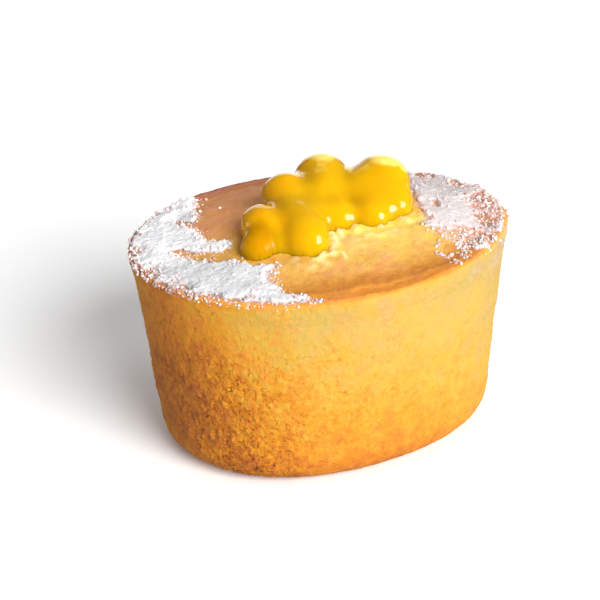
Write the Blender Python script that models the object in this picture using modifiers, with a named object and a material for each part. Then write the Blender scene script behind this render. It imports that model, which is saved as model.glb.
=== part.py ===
"""A friand: a small oval almond cake with a piped cluster of curd and icing sugar on both ends.

Blender 4.5, metres, +Z up. The origin is the middle of the cake's base, X runs along the
oval and the front is at -Y. Lengths below are in millimetres and are scaled by MM where a
mesh is made. An angle is taken round the oval from +X towards +Y.
"""

import math

import bmesh
import bpy
from mathutils import Matrix, Quaternion, Vector, noise

MM = 0.001

# The cake, as it comes out of its oval tin
HALF_LENGTH = 40.0
HALF_WIDTH = 32.0
RIM_HEIGHT = 44.0
WALL_TAPER = 5.4  # the wall comes in by this much from the rim down to the base
BASE_ROUND = 6.8  # radius of the rounded lower edge
LIP_HEIGHT = 2.6  # the crust stands a little proud of the wall over this height
LIP_PROUD = 0.35
RIM_ROUND = 1.1

# The top crust. A share is 0 at the middle and 1 at the rim.
DOME_RISE = 4.2
DOME_SHARE = 0.86
DOME_POWER = 2.4
GROOVE_DEPTH = 0.2  # a shallow ring inside the rim
GROOVE_SHARE = 0.86
GROOVE_SPREAD = 0.08

# Unevenness of baked cake: (order, cosine, sine) round the oval
OUTLINE_WAVES = ((2, 0.0, -0.17), (3, 0.26, 0.06), (4, -0.3, -0.2))
RIM_WAVES = ((2, 0.2, -0.12), (3, 0.18, -0.19))
CRAG_SIZES = ((8.0, 0.22), (4.0, 0.08))  # (width of a bump, how far it stands out)

# The curd: (x, y, height of the lobe's round top's middle above the crust, radius)
CURD_LOBES = (
    (-16.9, -9.2, 0.8, 3.5),
    (-13.4, -2.8, 1.8, 4.3),
    (-7.4, -11.4, 0.9, 4.9),
    (-5.3, 3.8, 3.2, 5.1),
    (2.0, -5.0, 0.8, 4.1),
    (4.0, 7.0, 4.2, 5.7),
    (9.0, -6.2, 0.3, 4.2),
    (14.7, 1.4, 3.3, 6.3),
    (14.6, -4.0, 0.9, 4.5),
    (-7.4, -5.0, 1.8, 4.5),
    (1.2, 0.8, 2.9, 4.9),
    (8.4, 0.0, 2.2, 4.8),
    (-13.6, -6.2, 1.6, 4.2),
    (-2.0, -0.6, 1.9, 4.2),
    (-6.2, -0.6, 2.5, 4.4),
    (-2.6, -4.8, 1.2, 4.2),
    (11.4, -2.6, 1.7, 4.4),
    (3.6, 3.4, 3.4, 4.8),
    (-12.0, -9.4, 0.1, 2.9),
    (-7.2, -8.2, 1.3, 4.5),
    (11.0, 0.4, 2.7, 4.6),
)
CURD_THRESHOLD = 0.6
CURD_STIFFNESS = 3.0  # a stiff lobe keeps its own round form beside the next one
CURD_ROOT = 1.0  # a lobe's straight side starts this far under the crust
CURD_STEP = 1.6  # length of a facet's side

# The sugar lies from the rim in to these edges: (y, x) from front to back
SUGAR_LEFT_EDGE = (
    (-29.2, -11.8),
    (-27.0, -13.4),
    (-23.4, -17.2),
    (-20.0, -18.0),
    (-15.4, -15.4),
    (-13.8, -19.4),
    (-10.0, -21.9),
    (-6.8, -26.5),
    (-3.2, -20.2),
    (2.2, -24.4),
    (10.0, -23.4),
    (16.5, -20.4),
    (27.6, -16.9),
)
SUGAR_RIGHT_EDGE = (
    (-22.5, 25.4),
    (-20.0, 22.4),
    (-17.0, 21.0),
    (-14.6, 20.2),
    (-11.8, 18.6),
    (-9.2, 20.6),
    (-4.0, 20.9),
    (1.0, 22.8),
    (11.0, 24.0),
    (22.0, 25.0),
)
SUGAR_THICKNESS = 1.0
SUGAR_THIN_SHARE = 0.4  # of the thickness, at the edge of a drift
SUGAR_THIN_WIDTH = 2.5  # how far in from its edge a drift reaches its full thickness
SUGAR_CLUMP_WIDTH = 3.2
SUGAR_OUTER_SHARE = 0.955
SUGAR_RAGGED = 0.5  # how far a drift's edges wander
SUGAR_RAGGED_WIDTH = 2.4
SUGAR_ROWS = 30
SUGAR_COLUMNS = 10

TOUCHING_GAP = 0.3  # what rests on the crust keeps this clear of it

# How finely the cake is faceted
AROUND = 80
FILLET_RINGS = 5
WALL_RINGS = 8
RIM_RINGS = 4
TOP_RINGS = 16
TOP_RING_POWER = 1.4  # over 1 sets the top's rings closer together near the rim
BASE_SHARES = (0.4, 0.8)

CRUST_COLOUR = (0.83, 0.47, 0.13, 1.0)
CURD_COLOUR = (0.91, 0.56, 0.01, 1.0)
SUGAR_COLOUR = (0.88, 0.88, 0.89, 1.0)


def clear_scene():
    for obj in list(bpy.data.objects):
        bpy.data.objects.remove(obj, do_unlink=True)


def new_collection(name):
    collection = bpy.data.collections.new(name)
    bpy.context.scene.collection.children.link(collection)
    return collection


def new_material(name, colour, roughness, subsurface=0.0):
    material = bpy.data.materials.new(name)
    material.use_nodes = True
    shader = material.node_tree.nodes["Principled BSDF"]
    shader.inputs["Base Color"].default_value = colour
    shader.inputs["Roughness"].default_value = roughness
    shader.inputs["Metallic"].default_value = 0.0
    shader.inputs["Subsurface Weight"].default_value = subsurface
    shader.inputs["Subsurface Radius"].default_value = (0.004, 0.003, 0.001)
    shader.inputs["Subsurface Scale"].default_value = 1.0
    material.diffuse_color = colour
    return material


def waves(terms, angle):
    """The sum of a few slow waves round the oval."""
    return sum(c * math.cos(n * angle) + s * math.sin(n * angle) for n, c, s in terms)


def crags(point):
    """Low bumps of the baked surface, as a height."""
    return sum(depth * noise.noise(Vector(point) / width) for width, depth in CRAG_SIZES)


def outline(angle, inset):
    """The oval moved in by inset, as (x, y), with the cake's slow unevenness."""
    x = HALF_LENGTH * math.cos(angle)
    y = HALF_WIDTH * math.sin(angle)
    outwards = Vector((x / HALF_LENGTH**2, y / HALF_WIDTH**2)).normalized()
    out = waves(OUTLINE_WAVES, angle) - inset
    return x + outwards.x * out, y + outwards.y * out


def rim_middle_x():
    """How far the uneven outline lies off the middle of the oval."""
    return (outline(0.0, 0.0)[0] + outline(math.pi, 0.0)[0]) / 2


def top_height(x, y):
    """Height of the top crust over a point inside the rim."""
    share = math.hypot(x / HALF_LENGTH, y / HALF_WIDTH)
    angle = math.atan2(y / HALF_WIDTH, x / HALF_LENGTH)
    dome = DOME_RISE * max(0.0, 1.0 - (share / DOME_SHARE) ** DOME_POWER)
    groove = GROOVE_DEPTH * math.exp(-(((share - GROOVE_SHARE) / GROOVE_SPREAD) ** 2))
    rim = RIM_HEIGHT + min(share, 1.0) * waves(RIM_WAVES, angle)
    return rim + dome - groove + crags((x, y, RIM_HEIGHT))


def ring_at(inset, height):
    """One level ring of the wall, with the crags pushed outwards."""
    ring = []
    for i in range(AROUND):
        angle = 2.0 * math.pi * i / AROUND
        lift = waves(RIM_WAVES, angle) * height / RIM_HEIGHT
        x, y = outline(angle, inset)
        roughness = crags((x, y, height)) * min(1.0, height / BASE_ROUND)
        x, y = outline(angle, inset - roughness)
        ring.append(Vector((x, y, height + lift)))
    return ring


def wall_inset(height):
    """How far the wall lies inside the rim's outline at a height, with the lip at its top."""
    taper = WALL_TAPER * (1.0 - height / RIM_HEIGHT)
    up_the_lip = min(1.0, max(0.0, (height - RIM_HEIGHT + 2 * LIP_HEIGHT) / LIP_HEIGHT))
    return taper + LIP_PROUD * (1.0 - up_the_lip)


def fillet_rings():
    """The rounded lower edge, from the flat base up to the wall."""
    rings = []
    wall = wall_inset(BASE_ROUND)
    for i in range(FILLET_RINGS + 1):
        turn = 0.5 * math.pi * i / FILLET_RINGS
        inset = wall + BASE_ROUND * (1.0 - math.sin(turn))
        rings.append(ring_at(inset, BASE_ROUND * (1.0 - math.cos(turn))))
    return rings


def wall_rings():
    top = RIM_HEIGHT - RIM_ROUND
    heights = [BASE_ROUND + (top - BASE_ROUND) * i / WALL_RINGS for i in range(1, WALL_RINGS)]
    heights += [top - LIP_HEIGHT / 2, top]
    return [ring_at(wall_inset(height), height) for height in heights]


def top_ring(share):
    """A ring of the top crust at a share of the way out from the middle."""
    edge = outline_share(RIM_ROUND)
    ring = []
    for i in range(AROUND):
        angle = 2.0 * math.pi * i / AROUND
        x, y = outline(angle, RIM_ROUND)
        x, y = x * share / edge, y * share / edge
        ring.append(Vector((x, y, top_height(x, y))))
    return ring


def outline_share(inset):
    """The share of the half length that is left inside an inset."""
    return 1.0 - inset / HALF_LENGTH


def inward_shares(first):
    """Shares of the top crust's rings from the first one in towards the middle."""
    return [first * (1.0 - (i / TOP_RINGS) ** TOP_RING_POWER) for i in range(TOP_RINGS)]


def rim_rings():
    """The quarter round from the wall over to the top crust."""
    rings = []
    for i in range(1, RIM_RINGS):
        turn = 0.5 * math.pi * i / RIM_RINGS
        inset = RIM_ROUND * (1.0 - math.cos(turn))
        rings.append(ring_at(inset, RIM_HEIGHT - RIM_ROUND * (1.0 - math.sin(turn))))
    return rings


def loft(name, rings, first, last):
    """A closed mesh through rings of equally many points, with a fan to a point at each end."""
    mesh = bpy.data.meshes.new(name)
    bm = bmesh.new()
    loops = [[bm.verts.new(point * MM) for point in ring] for ring in rings]
    count = len(rings[0])
    for lower, upper in zip(loops, loops[1:]):
        for i in range(count):
            j = (i + 1) % count
            bm.faces.new((lower[i], lower[j], upper[j], upper[i]))
    for loop, point in ((loops[0], first), (loops[-1], last)):
        tip = bm.verts.new(point * MM)
        for i in range(count):
            bm.faces.new((loop[i], loop[(i + 1) % count], tip))
    bmesh.ops.recalc_face_normals(bm, faces=bm.faces)
    bm.to_mesh(mesh)
    bm.free()
    return mesh


def new_centre(collection):
    """An empty that moves the whole cake along X, so that the uneven rim is centred."""
    centre = bpy.data.objects.new("centre", None)
    centre.location.x = -rim_middle_x() * MM
    collection.objects.link(centre)
    return centre


def new_object(name, mesh, material, collection, centre):
    """Puts a mesh in the scene, shaded smooth and parented to the cake's centre."""
    mesh.materials.clear()
    mesh.materials.append(material)
    mesh.shade_smooth()
    mesh.set_sharp_from_angle(angle=math.radians(50))
    obj = bpy.data.objects.new(name, mesh)
    obj.parent = centre
    collection.objects.link(obj)
    return obj


def cake_mesh():
    base_edge = fillet_rings()[0]
    base = [[point * share for point in base_edge] for share in BASE_SHARES]
    rings = base + fillet_rings() + wall_rings() + rim_rings()
    rings += [top_ring(share) for share in inward_shares(outline_share(RIM_ROUND))]
    return loft("cake", rings, Vector((0, 0, 0)), Vector((0, 0, top_height(0, 0))))


def lobe_cluster_mesh():
    """Upright lobes with round tops that run into each other, polygonised in millimetres."""
    ball = bpy.data.metaballs.new("curd_lobes")
    ball.threshold = CURD_THRESHOLD
    ball.resolution = CURD_STEP
    reach = math.sqrt(1.0 - (CURD_THRESHOLD / CURD_STIFFNESS) ** (1.0 / 3.0))
    for x, y, lift, radius in CURD_LOBES:
        half = (CURD_ROOT + lift) / 2
        element = ball.elements.new(type="CAPSULE")
        element.co = (x, y, top_height(x, y) + lift - half)
        element.rotation = Quaternion((0.0, 1.0, 0.0), math.radians(90))
        element.size_x = half
        element.radius = radius / reach
        element.stiffness = CURD_STIFFNESS
    obj = bpy.data.objects.new("curd_lobes", ball)
    bpy.context.scene.collection.objects.link(obj)
    bpy.context.view_layer.update()
    evaluated = obj.evaluated_get(bpy.context.evaluated_depsgraph_get())
    mesh = bpy.data.meshes.new_from_object(evaluated)
    bpy.data.objects.remove(obj)
    mesh.transform(Matrix.Scale(MM, 4))
    return mesh


def crust_cutter(collection, centre):
    """A block up to just above the top crust, which gives the curd its underside."""
    gap = Vector((0, 0, TOUCHING_GAP))
    rings = [[point + gap for point in top_ring(share)] for share in inward_shares(0.8)]
    floor = [Vector((point.x, point.y, RIM_HEIGHT / 2)) for point in rings[0]]
    middle = Vector((0, 0, RIM_HEIGHT / 2))
    mesh = loft("crust_cutter", [floor] + rings, middle, Vector((0, 0, top_height(0, 0))) + gap)
    cutter = bpy.data.objects.new("crust_cutter", mesh)
    cutter.parent = centre
    cutter.hide_render = True
    cutter.display_type = "WIRE"
    collection.objects.link(cutter)
    return cutter


def edge_x(edge, y):
    """X of a drift's inner edge at y, smoothed between its points."""
    for (y0, x0), (y1, x1) in zip(edge, edge[1:]):
        if y <= y1:
            t = min(1.0, max(0.0, (y - y0) / (y1 - y0)))
            return x0 + (x1 - x0) * t * t * (3.0 - 2.0 * t)
    return edge[-1][1]


def wander(y, seed):
    """A small unevenness of a drift's edge."""
    return SUGAR_RAGGED * noise.noise(Vector((y / SUGAR_RAGGED_WIDTH, seed, 0.5)))


def sugar_drift(name, edge, side, material, collection, centre):
    """A thin skin of icing sugar between the rim and edge, at the end that side says (-1 or 1)."""
    front, back = edge[0][0], edge[-1][0]
    half_width = HALF_WIDTH * SUGAR_OUTER_SHARE
    turns = [math.asin(limit / half_width) for limit in (front, back)]
    bm = bmesh.new()
    grid = bmesh.ops.create_grid(bm, x_segments=SUGAR_COLUMNS, y_segments=SUGAR_ROWS, size=0.5)
    depths = {}
    for vert in grid["verts"]:
        along, across = vert.co.y + 0.5, vert.co.x + 0.5
        turn = turns[0] + (turns[1] - turns[0]) * along
        y = half_width * math.sin(turn)
        outer = side * HALF_LENGTH * SUGAR_OUTER_SHARE * math.cos(turn) + wander(y, side)
        width = edge_x(edge, y) + wander(y, 3.0 * side) - outer
        x = outer + width * across
        vert.co = Vector((x, y, top_height(x, y) + TOUCHING_GAP)) * MM
        from_edge = min(across, 1.0 - across) * abs(width)
        from_tip = min(along, 1.0 - along) * (back - front)
        depths[vert.index] = min(1.0, min(from_edge, from_tip) / SUGAR_THIN_WIDTH)
    if side > 0:
        bmesh.ops.reverse_faces(bm, faces=bm.faces)
    mesh = bpy.data.meshes.new(name)
    bm.to_mesh(mesh)
    bm.free()
    drift = new_object(name, mesh, material, collection, centre)
    shape_thickness(drift, depths)
    return drift


def shape_thickness(drift, depths):
    """Solidify upwards, thin at the edges and clumpy further in."""
    group = drift.vertex_groups.new(name="thickness")
    for vert in drift.data.vertices:
        clump = 0.5 + 0.5 * noise.noise(vert.co / (SUGAR_CLUMP_WIDTH * MM))
        depth = depths[vert.index] * (0.55 + 0.45 * clump)
        group.add([vert.index], SUGAR_THIN_SHARE + (1.0 - SUGAR_THIN_SHARE) * depth, "REPLACE")
    solid = drift.modifiers.new("thickness", "SOLIDIFY")
    solid.thickness = SUGAR_THICKNESS * MM
    solid.offset = 1.0
    solid.vertex_group = group.name


def build():
    clear_scene()
    friand = new_collection("friand")
    cutters = new_collection("cutters")
    crust = new_material("cake_crust", CRUST_COLOUR, roughness=0.8)
    gel = new_material("curd_gel", CURD_COLOUR, roughness=0.12, subsurface=0.3)
    sugar = new_material("icing_sugar", SUGAR_COLOUR, roughness=0.95)
    centre = new_centre(friand)

    new_object("cake", cake_mesh(), crust, friand, centre)

    cluster = new_object("curd", lobe_cluster_mesh(), gel, friand, centre)
    underside = cluster.modifiers.new("underside", "BOOLEAN")
    underside.operation = "DIFFERENCE"
    underside.object = crust_cutter(cutters, centre)

    sugar_drift("sugar_left", SUGAR_LEFT_EDGE, -1, sugar, friand, centre)
    sugar_drift("sugar_right", SUGAR_RIGHT_EDGE, 1, sugar, friand, centre)


build()
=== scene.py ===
"""The looks of a friand: baked crumb and crust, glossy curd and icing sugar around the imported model.

Lengths are in millimetres and are scaled by MM where a mesh is made, but the floor and the camera
are in metres. The cake has the source's own sizes and formulas on a much finer mesh, and only the
crease at the dome's foot is rounded off. A share is 0 at the middle of the top crust and 1 at its
rim, and an angle goes round the oval from +X to +Y. Three kinds of value come back under many
names: _BUMPS holds (width of a bump, how far it stands out), _FADE holds (where a change starts,
over how much it takes place), and spots are (x, y, radius, how strong they are).
"""

import random
from collections import namedtuple
from math import atan2, cos, degrees, exp, hypot, pi, radians, sin, sqrt

import bmesh
import bpy
from mathutils import Matrix, Quaternion, Vector, noise

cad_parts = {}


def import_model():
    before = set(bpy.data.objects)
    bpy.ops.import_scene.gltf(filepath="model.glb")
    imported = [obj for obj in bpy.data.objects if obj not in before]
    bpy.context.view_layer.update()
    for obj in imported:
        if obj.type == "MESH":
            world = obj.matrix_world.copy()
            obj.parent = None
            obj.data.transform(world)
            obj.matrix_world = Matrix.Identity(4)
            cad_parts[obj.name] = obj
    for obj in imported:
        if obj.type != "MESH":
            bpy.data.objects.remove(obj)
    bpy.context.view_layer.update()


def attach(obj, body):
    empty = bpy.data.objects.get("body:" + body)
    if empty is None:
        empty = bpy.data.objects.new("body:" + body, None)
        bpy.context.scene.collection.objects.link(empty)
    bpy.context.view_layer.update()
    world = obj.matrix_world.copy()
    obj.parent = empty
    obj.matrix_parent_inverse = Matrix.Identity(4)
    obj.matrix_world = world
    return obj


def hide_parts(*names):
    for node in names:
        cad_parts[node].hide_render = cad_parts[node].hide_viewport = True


MM = 0.001

# The cake's form
HALF_LENGTH = 40.0
HALF_WIDTH = 32.0
RIM_HEIGHT = 44.0
WALL_TAPER = 5.4
BASE_ROUND = 6.8
LIP_HEIGHT = 2.6
LIP_PROUD = 0.35
RIM_ROUND = 1.1
DOME_RISE = 4.2
DOME_SHARE = 0.86
DOME_POWER = 2.4
DOME_SOFTNESS = 0.11  # of the rise, by which the crease at the dome's foot is rounded off
GROOVE_DEPTH = 0.2
GROOVE_SHARE = 0.86
GROOVE_SPREAD = 0.08
OUTLINE_WAVES = ((2, 0.0, -0.17), (3, 0.26, 0.06), (4, -0.3, -0.2))
RIM_WAVES = ((2, 0.2, -0.12), (3, 0.18, -0.19))
CRAG_SIZES = ((8.0, 0.22), (4.0, 0.08))

# How finely the cake is meshed
TOP_CELLS = 138  # the top crust is a square of this many cells each way, drawn out to the oval
FILLET_ROWS = 25
WALL_ROWS = 84
RIM_ROWS = 5
BASE_SHARES = (0.15, 0.3, 0.45, 0.6, 0.75, 0.9)

# Relief of the crumb
CRUMB_BUMPS = ((2.6, 0.12), (1.3, 0.26), (0.75, 0.13))
CRUMB_CALM = 0.25  # share of the relief that is left where the wall is smooth
PORE_SPACING = 2.3
PORE_RADIUS = 0.5
PORE_DEPTH = 0.45
PORE_LEAST_DRAW = 0.486  # a cell that draws less holds no pore
PORE_SHUFFLE = 5.17  # sets the draws of neighbouring cells apart
FOLD_MEAN = 0.45  # taken off the folded noise, so that it goes in and out
TOP_BUMPS = ((3.4, 0.13), (1.5, 0.10), (0.8, 0.06))
TOP_FADE = (0.45, 0.35)  # how far up a normal points where the wall turns into the top
BASE_FADE = (0.3, 1.2)  # heights over which the relief fades in above the flat base
NEAR_RIM_DROP = 1.2  # the rim's colours start this far below it
NEAR_RIM_SHARE = 0.3
RELIEF_RANGE = 0.5
# Soft lumps of pale crumb on the crust in front of the curd: (x, y, radius, height)
TOP_LUMPS = (
    (5.4, -8.8, 3.2, 0.5),
    (15.6, -8.6, 3.0, 0.45),
    (9.6, -11.0, 3.6, 0.3),
    (-3.6, -17.6, 3.4, 0.3),
    (-9.8, -17.0, 3.2, 0.45),
    (2.4, -14.2, 3.0, 0.3),
    (17.6, -13.4, 3.4, 0.25),
)
LUMP_UNEVENNESS = (1.7, 0.25)
LUMP_STEEPNESS = 1.35
CLUMP_WIDTH = 1.7  # of the small pale clumps close in front of the curd
CLUMP_HEIGHT = 0.36
CLUMP_CURD_FADE = (-5.6, 5.0)
CLUMP_BACK_FADE = (6.0, 3.0)
CLUMP_LEFT_FADE = (-14.0, 4.0)
CLUMP_FADE = (-0.02, 0.32)
# Pale strands on the crust: (x0, y0, x1, y1, half width)
STRANDS = (
    (-0.4, -7.6, -1.4, -13.0, 0.2),
    (0.9, -8.4, 0.4, -11.6, 0.14),
    (-1.8, -12.8, -4.0, -16.6, 0.2),
    (-1.6, -16.6, -1.8, -18.4, 0.04),
    (-4.4, -14.0, -6.6, -17.0, 0.14),
)
STRAND_HEIGHT = 0.26
STRAND_SOFTNESS = 0.45
STRAND_WANDER = ((2.2, 0.5),)

# How brown the crust is, from 0 to 1. Angles are in degrees.
BROWN_END = (-168.0, 4.6)  # (angle, how narrow it is)
PALE_END = (-10.0, 2.5)
RIM_BAKE = (0.32, 0.50, -0.28)  # all round, and added at the brown end and at the pale end
FOOT_BAKE = (0.50, -0.34, 0.15)  # added down to the foot
FOOT_POWER = 1.2
HIDDEN_BAKE = (0.14, 0.0, 0.22)  # added on the side that the photograph doesn't show
HIDDEN_ARC = (68.0, 95.0, 35.0)  # (middle, half its length, how slowly it fades)
PALE_ARC = (5.0, 66.5, 35.0)
LEFT_FADE = 0.64  # how much paler the brown end is away from the middle of its height
LEFT_MIDDLE = 0.45
WALL_BAKE_BUMPS = ((9.0, 0.08), (3.5, 0.08))
EDGE_BAKE = 0.16
EDGE_HEIGHT = RIM_HEIGHT - 0.4
EDGE_SPREAD = 1.3
PALE_OVAL = (7.0, -8.0, 28.6, 16.5)  # (x, y, half length, half width) of the dome's pale place
PALE_BAKE = 0.05
CRUST_BAKE = 0.55
TOP_BAKE_BUMPS = ((4.0, 0.08), (1.6, 0.05))
RING_BAKE = 0.95
RING_SHARE = 0.91
RING_FRONT = (-92.0, 32.0, 0.085)  # (angle, spread, how far inwards the ring comes there)
RING_BUMPS = ((3.0, 0.012), (1.2, 0.008))
RING_SPREADS = (0.1, 0.04)  # inwards and outwards

# The pitted place low down on the wall, left of the middle
PITTED_ARC = (-138.0, 25.0)  # (angle, spread)
PITTED_BAKE = 0.06
LOW_FADE = (-40.0, 18.0)
ROUGHNESS = 0.28
LOW_ROUGHNESS = 0.08
PITTED_ROUGHNESS = 0.66
TOP_ROUGHNESS = 0.25
ROUGHNESS_BUMPS = ((6.0, 0.2),)
PORES_LOST_ON_TOP = 0.75
PORE_BAKE_FADE = (0.1, 0.5)

# Where the other colours of the crust lie
BACK_SLOPE = 0.2
BACK_FADE = (1.0, 7.0)
BACK_EDGE_FADE = (0.023, 0.05)
BAND_FADE = (0.012, 0.035)
BACK_BAND_WIDENING = 0.06
PALE_BAND_LOSS = 0.8
GLOW_REACH = 3.0
DUST_FADE = (-2.4, 2.4)

# Curd: (x, y, height of the lobe's round top's middle above the crust, radius)
CURD_LOBES = (
    (-16.9, -9.2, 0.8, 3.5),
    (-13.4, -2.8, 1.8, 4.3),
    (-7.4, -11.4, 0.9, 4.9),
    (-5.3, 3.8, 3.2, 5.1),
    (2.0, -5.0, 0.8, 4.1),
    (4.0, 7.0, 4.2, 5.7),
    (9.0, -6.2, 0.3, 4.2),
    (14.7, 1.4, 3.3, 6.3),
    (14.6, -4.0, 0.9, 4.5),
    (-7.4, -5.0, 1.8, 4.5),
    (1.2, 0.8, 2.9, 4.9),
    (8.4, 0.0, 2.2, 4.8),
    (-13.6, -6.2, 1.6, 4.2),
    (-2.0, -0.6, 1.9, 4.2),
    (-6.2, -0.6, 2.5, 4.4),
    (-2.6, -4.8, 1.2, 4.2),
    (11.4, -2.6, 1.7, 4.4),
    (3.6, 3.4, 3.4, 4.8),
    (-12.0, -9.4, 0.1, 2.9),
    (-7.2, -8.2, 1.3, 4.5),
    (11.0, 0.4, 2.7, 4.6),
)
# Painted sheen on the tops and right side of the curd's lobes, standing in for reflected light: (x, y,
# radius, direction that its middle faces)
CURD_PAINTED_SHEENS = (
    (4.0, 7.0, 6.4, (0.10, 0.30, 0.95)),
    (14.7, 1.4, 7.6, (0.28, 0.04, 0.96)),
    (14.7, 1.4, 7.6, (0.70, 0.05, 0.71)),
)
PAINTED_SHEEN_BUMPS = ((1.5, 0.04),)
PAINTED_SHEEN_EDGE_FADE = (0.0, 1.5)
PAINTED_SHEEN_TURN_FADE = (0.80, 0.1)
# Painted shade that darkens the front-lit lower left lobe, and painted light that lifts the shaded
# lobes on the left
PAINTED_SHADE_SPOTS = ((-17.2, -10.2, 3.4, 0.95),)
PAINTED_LIGHT_SPOTS = (
    (-7.6, 3.6, 5.0, 1.0),
    (-15.4, -4.4, 4.6, 1.0),
    (-1.0, 8.8, 3.4, 0.9),
    (-12.2, -8.0, 2.4, 0.9),
)
DEEP_BASE = 0.05
DEEP_BUMPS = ((5.0, 0.15),)
SPOT_SOFTNESS = (1.5, 1.0)
CURD_THRESHOLD = 0.6
CURD_STIFFNESS = 3.0
CURD_ROOT = 1.0  # a lobe's straight side starts this far under the crust
CURD_STEP = 0.4
CURD_SINK = 0.4  # how far the curd reaches into the crust

# Icing sugar lies from the rim in to these edges: (y, x) from front to back
SUGAR_LEFT_EDGE = (
    (-29.2, -11.8),
    (-27.0, -13.4),
    (-23.4, -17.2),
    (-20.0, -18.0),
    (-15.4, -15.4),
    (-13.8, -19.4),
    (-10.0, -21.9),
    (-6.8, -26.5),
    (-3.2, -20.2),
    (2.2, -24.4),
    (10.0, -23.4),
    (16.5, -20.4),
    (27.6, -16.9),
)
SUGAR_RIGHT_EDGE = (
    (-22.5, 25.4),
    (-20.0, 22.4),
    (-17.0, 21.0),
    (-14.6, 20.2),
    (-11.8, 18.6),
    (-9.2, 20.6),
    (-4.0, 20.9),
    (1.0, 22.8),
    (11.0, 24.0),
    (22.0, 25.0),
)
SUGAR_CELL = 0.24
SUGAR_THICKNESS = 1.0
SUGAR_EDGE_FADE = (-0.6, 1.5)
SUGAR_MARGIN = 1.0
SUGAR_LAST_SHARE = 0.994
SUGAR_WEAR = 0.12
SUGAR_FALL = 1.2
SUGAR_SINK = 0.25  # how far a drift reaches into the crust
SUGAR_OUTER_SHARE = 0.975
SUGAR_BACK_FADE = (4.0, 6.0)
SUGAR_FILL_SHARE = 0.87
SUGAR_FILL_SLOPE = 3.0
SUGAR_OUTER_BUMPS = ((3.0, 0.8), (1.2, 0.9), (0.6, 0.5))
SUGAR_BUMPS = ((5.5, 0.18), (1.9, 0.06), (0.85, 0.05), (0.5, 0.04))
SUGAR_BODY = 0.62  # usual share of the thickness
SPECKLE_BUMPS = ((2.0, 0.6), (1.2, 0.4))
# Heights in the noise that keep these patterns apart
OUTER_LEVEL = 3.0
BODY_LEVEL = 7.0
THIN_LEVEL = 2.0
FRAY_WIDTH = 1.5
FRAY_SPECKLE = 1.2
HOLE_SHARE = 0.3
HOLE_SPECKLE = 1.9
SPARSE_THINNING = 0.5
SPARSE_FLATNESS = 0.5
SPARSE_SOFTNESS = (1.6, 1.3)
SPOT_STRENGTH = 0.75  # how much of the crust shows in the stained spots of the sparse sugar
# Bare strokes in the drifts: (x0, y0, x1, y1, half width)
BARE_LEFT = (
    (-30.5, 2.6, -27.8, -3.4, 0.9),
    (-27.8, -3.4, -22.0, -7.4, 1.4),
    (-22.0, -7.4, -20.2, -10.4, 1.1),
    (-25.1, 17.6, -24.2, 12.6, 0.5),
    (-24.2, 12.6, -22.6, 8.0, 0.9),
    (-24.8, 25.8, -23.6, 25.0, 0.6),
    (-37.6, 11.6, -38.0, 7.0, 0.6),
    (-36.4, 16.6, -34.0, 16.0, 0.4),
)
BARE_RIGHT = (
    (30.8, 17.8, 31.6, 16.2, 1.1),
    (35.2, 9.6, 34.4, 7.0, 0.3),
    (28.6, 11.0, 27.6, 8.4, 0.25),
    (25.6, -2.0, 24.8, -4.6, 0.25),
    (36.6, 1.6, 35.8, -0.6, 0.4),
)
# Where the sugar is sparse: (x, y, radius, how much of it is missing)
SPARSE_LEFT = (
    (-38.6, -3.0, 3.6, 0.65),
    (-36.2, -12.0, 3.4, 0.65),
    (-31.0, -19.6, 3.0, 0.6),
    (-24.6, -24.0, 2.4, 0.45),
    (-16.4, -18.6, 2.8, 0.6),
    (-12.0, -28.6, 2.6, 0.6),
    (-37.4, 8.8, 2.6, 0.5),
)
SPARSE_RIGHT = (
    (37.6, -3.6, 5.6, 0.95),
    (33.8, -11.0, 4.2, 0.8),
    (26.4, -18.8, 6.0, 0.95),
    (37.6, 8.4, 3.4, 0.7),
    (21.0, -16.0, 3.0, 0.6),
    (32.4, 16.4, 2.4, 0.6),
)

# A drift of sugar: its side, the x that it lies between, its inner edge, its bare strokes, where it
# is sparse, how much further out it reaches at the back, and how much it fills the ring
Drift = namedtuple("Drift", "side across edge bare sparse back_share fill")
LEFT_DRIFT = Drift(-1, (-HALF_LENGTH, -10.0), SUGAR_LEFT_EDGE, BARE_LEFT, SPARSE_LEFT, 0.045, 0.75)
RIGHT_DRIFT = Drift(1, (16.0, HALF_LENGTH), SUGAR_RIGHT_EDGE, BARE_RIGHT, SPARSE_RIGHT, 0.0, 0.0)

# How thin and grey the powder looks; its grey is partly thin powder over the crust and partly painted
# shade
THIN_BUMPS = ((4.0, 0.12),)
RIGHT_THINNESS_AND_SHADE = 0.88
SPARSE_WHITENESS = 0.4
BACK_THINNESS = 0.2
FRONT_THINNESS_AND_SHADE = 0.65
FRONT_FADE = (-1.0, 9.0)
RIM_THINNESS = 0.45
RIM_FADE = (0.92, 0.05)

GRAIN_COUNT = 2900
GRAIN_SIZES = (0.2, 0.9)  # from the commonest to the rarest
FINE_RARITY = 4.5  # the higher, the fewer grains are large
CLUMPY_RARITY = 3.2
RIM_GRAIN_RARITY = 2.6
GRAIN_LEAST_AREA = 0.1
GRAIN_LIFT = 0.05
GRAIN_STRETCH = (0.7, 1.2)
GRAIN_LUMPS = (0.75, 1.2)
OUTER_GRAINS = (0.6, 0.6)  # (how likely at a drift's edge, over how far), outside the drift
INNER_GRAINS = (0.5, 0.8)
GRAINS_ON_TOP = 0.03
SPARSE_GRAINS = 0.22
LEFT_CLUMPINESS = 0.3
SPILL_CLUMPINESS = 5.0
# Loose clumps in front of the right drift: (x, y, radius, how likely a clump is)
SPILLS = (
    (18.4, -18.2, 1.2, 0.2),
    (18.2, -21.6, 1.6, 0.36),
    (19.2, -25.2, 1.3, 0.36),
    (22.2, -22.4, 2.2, 0.3),
)
GRAIN_SEED = 11
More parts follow.
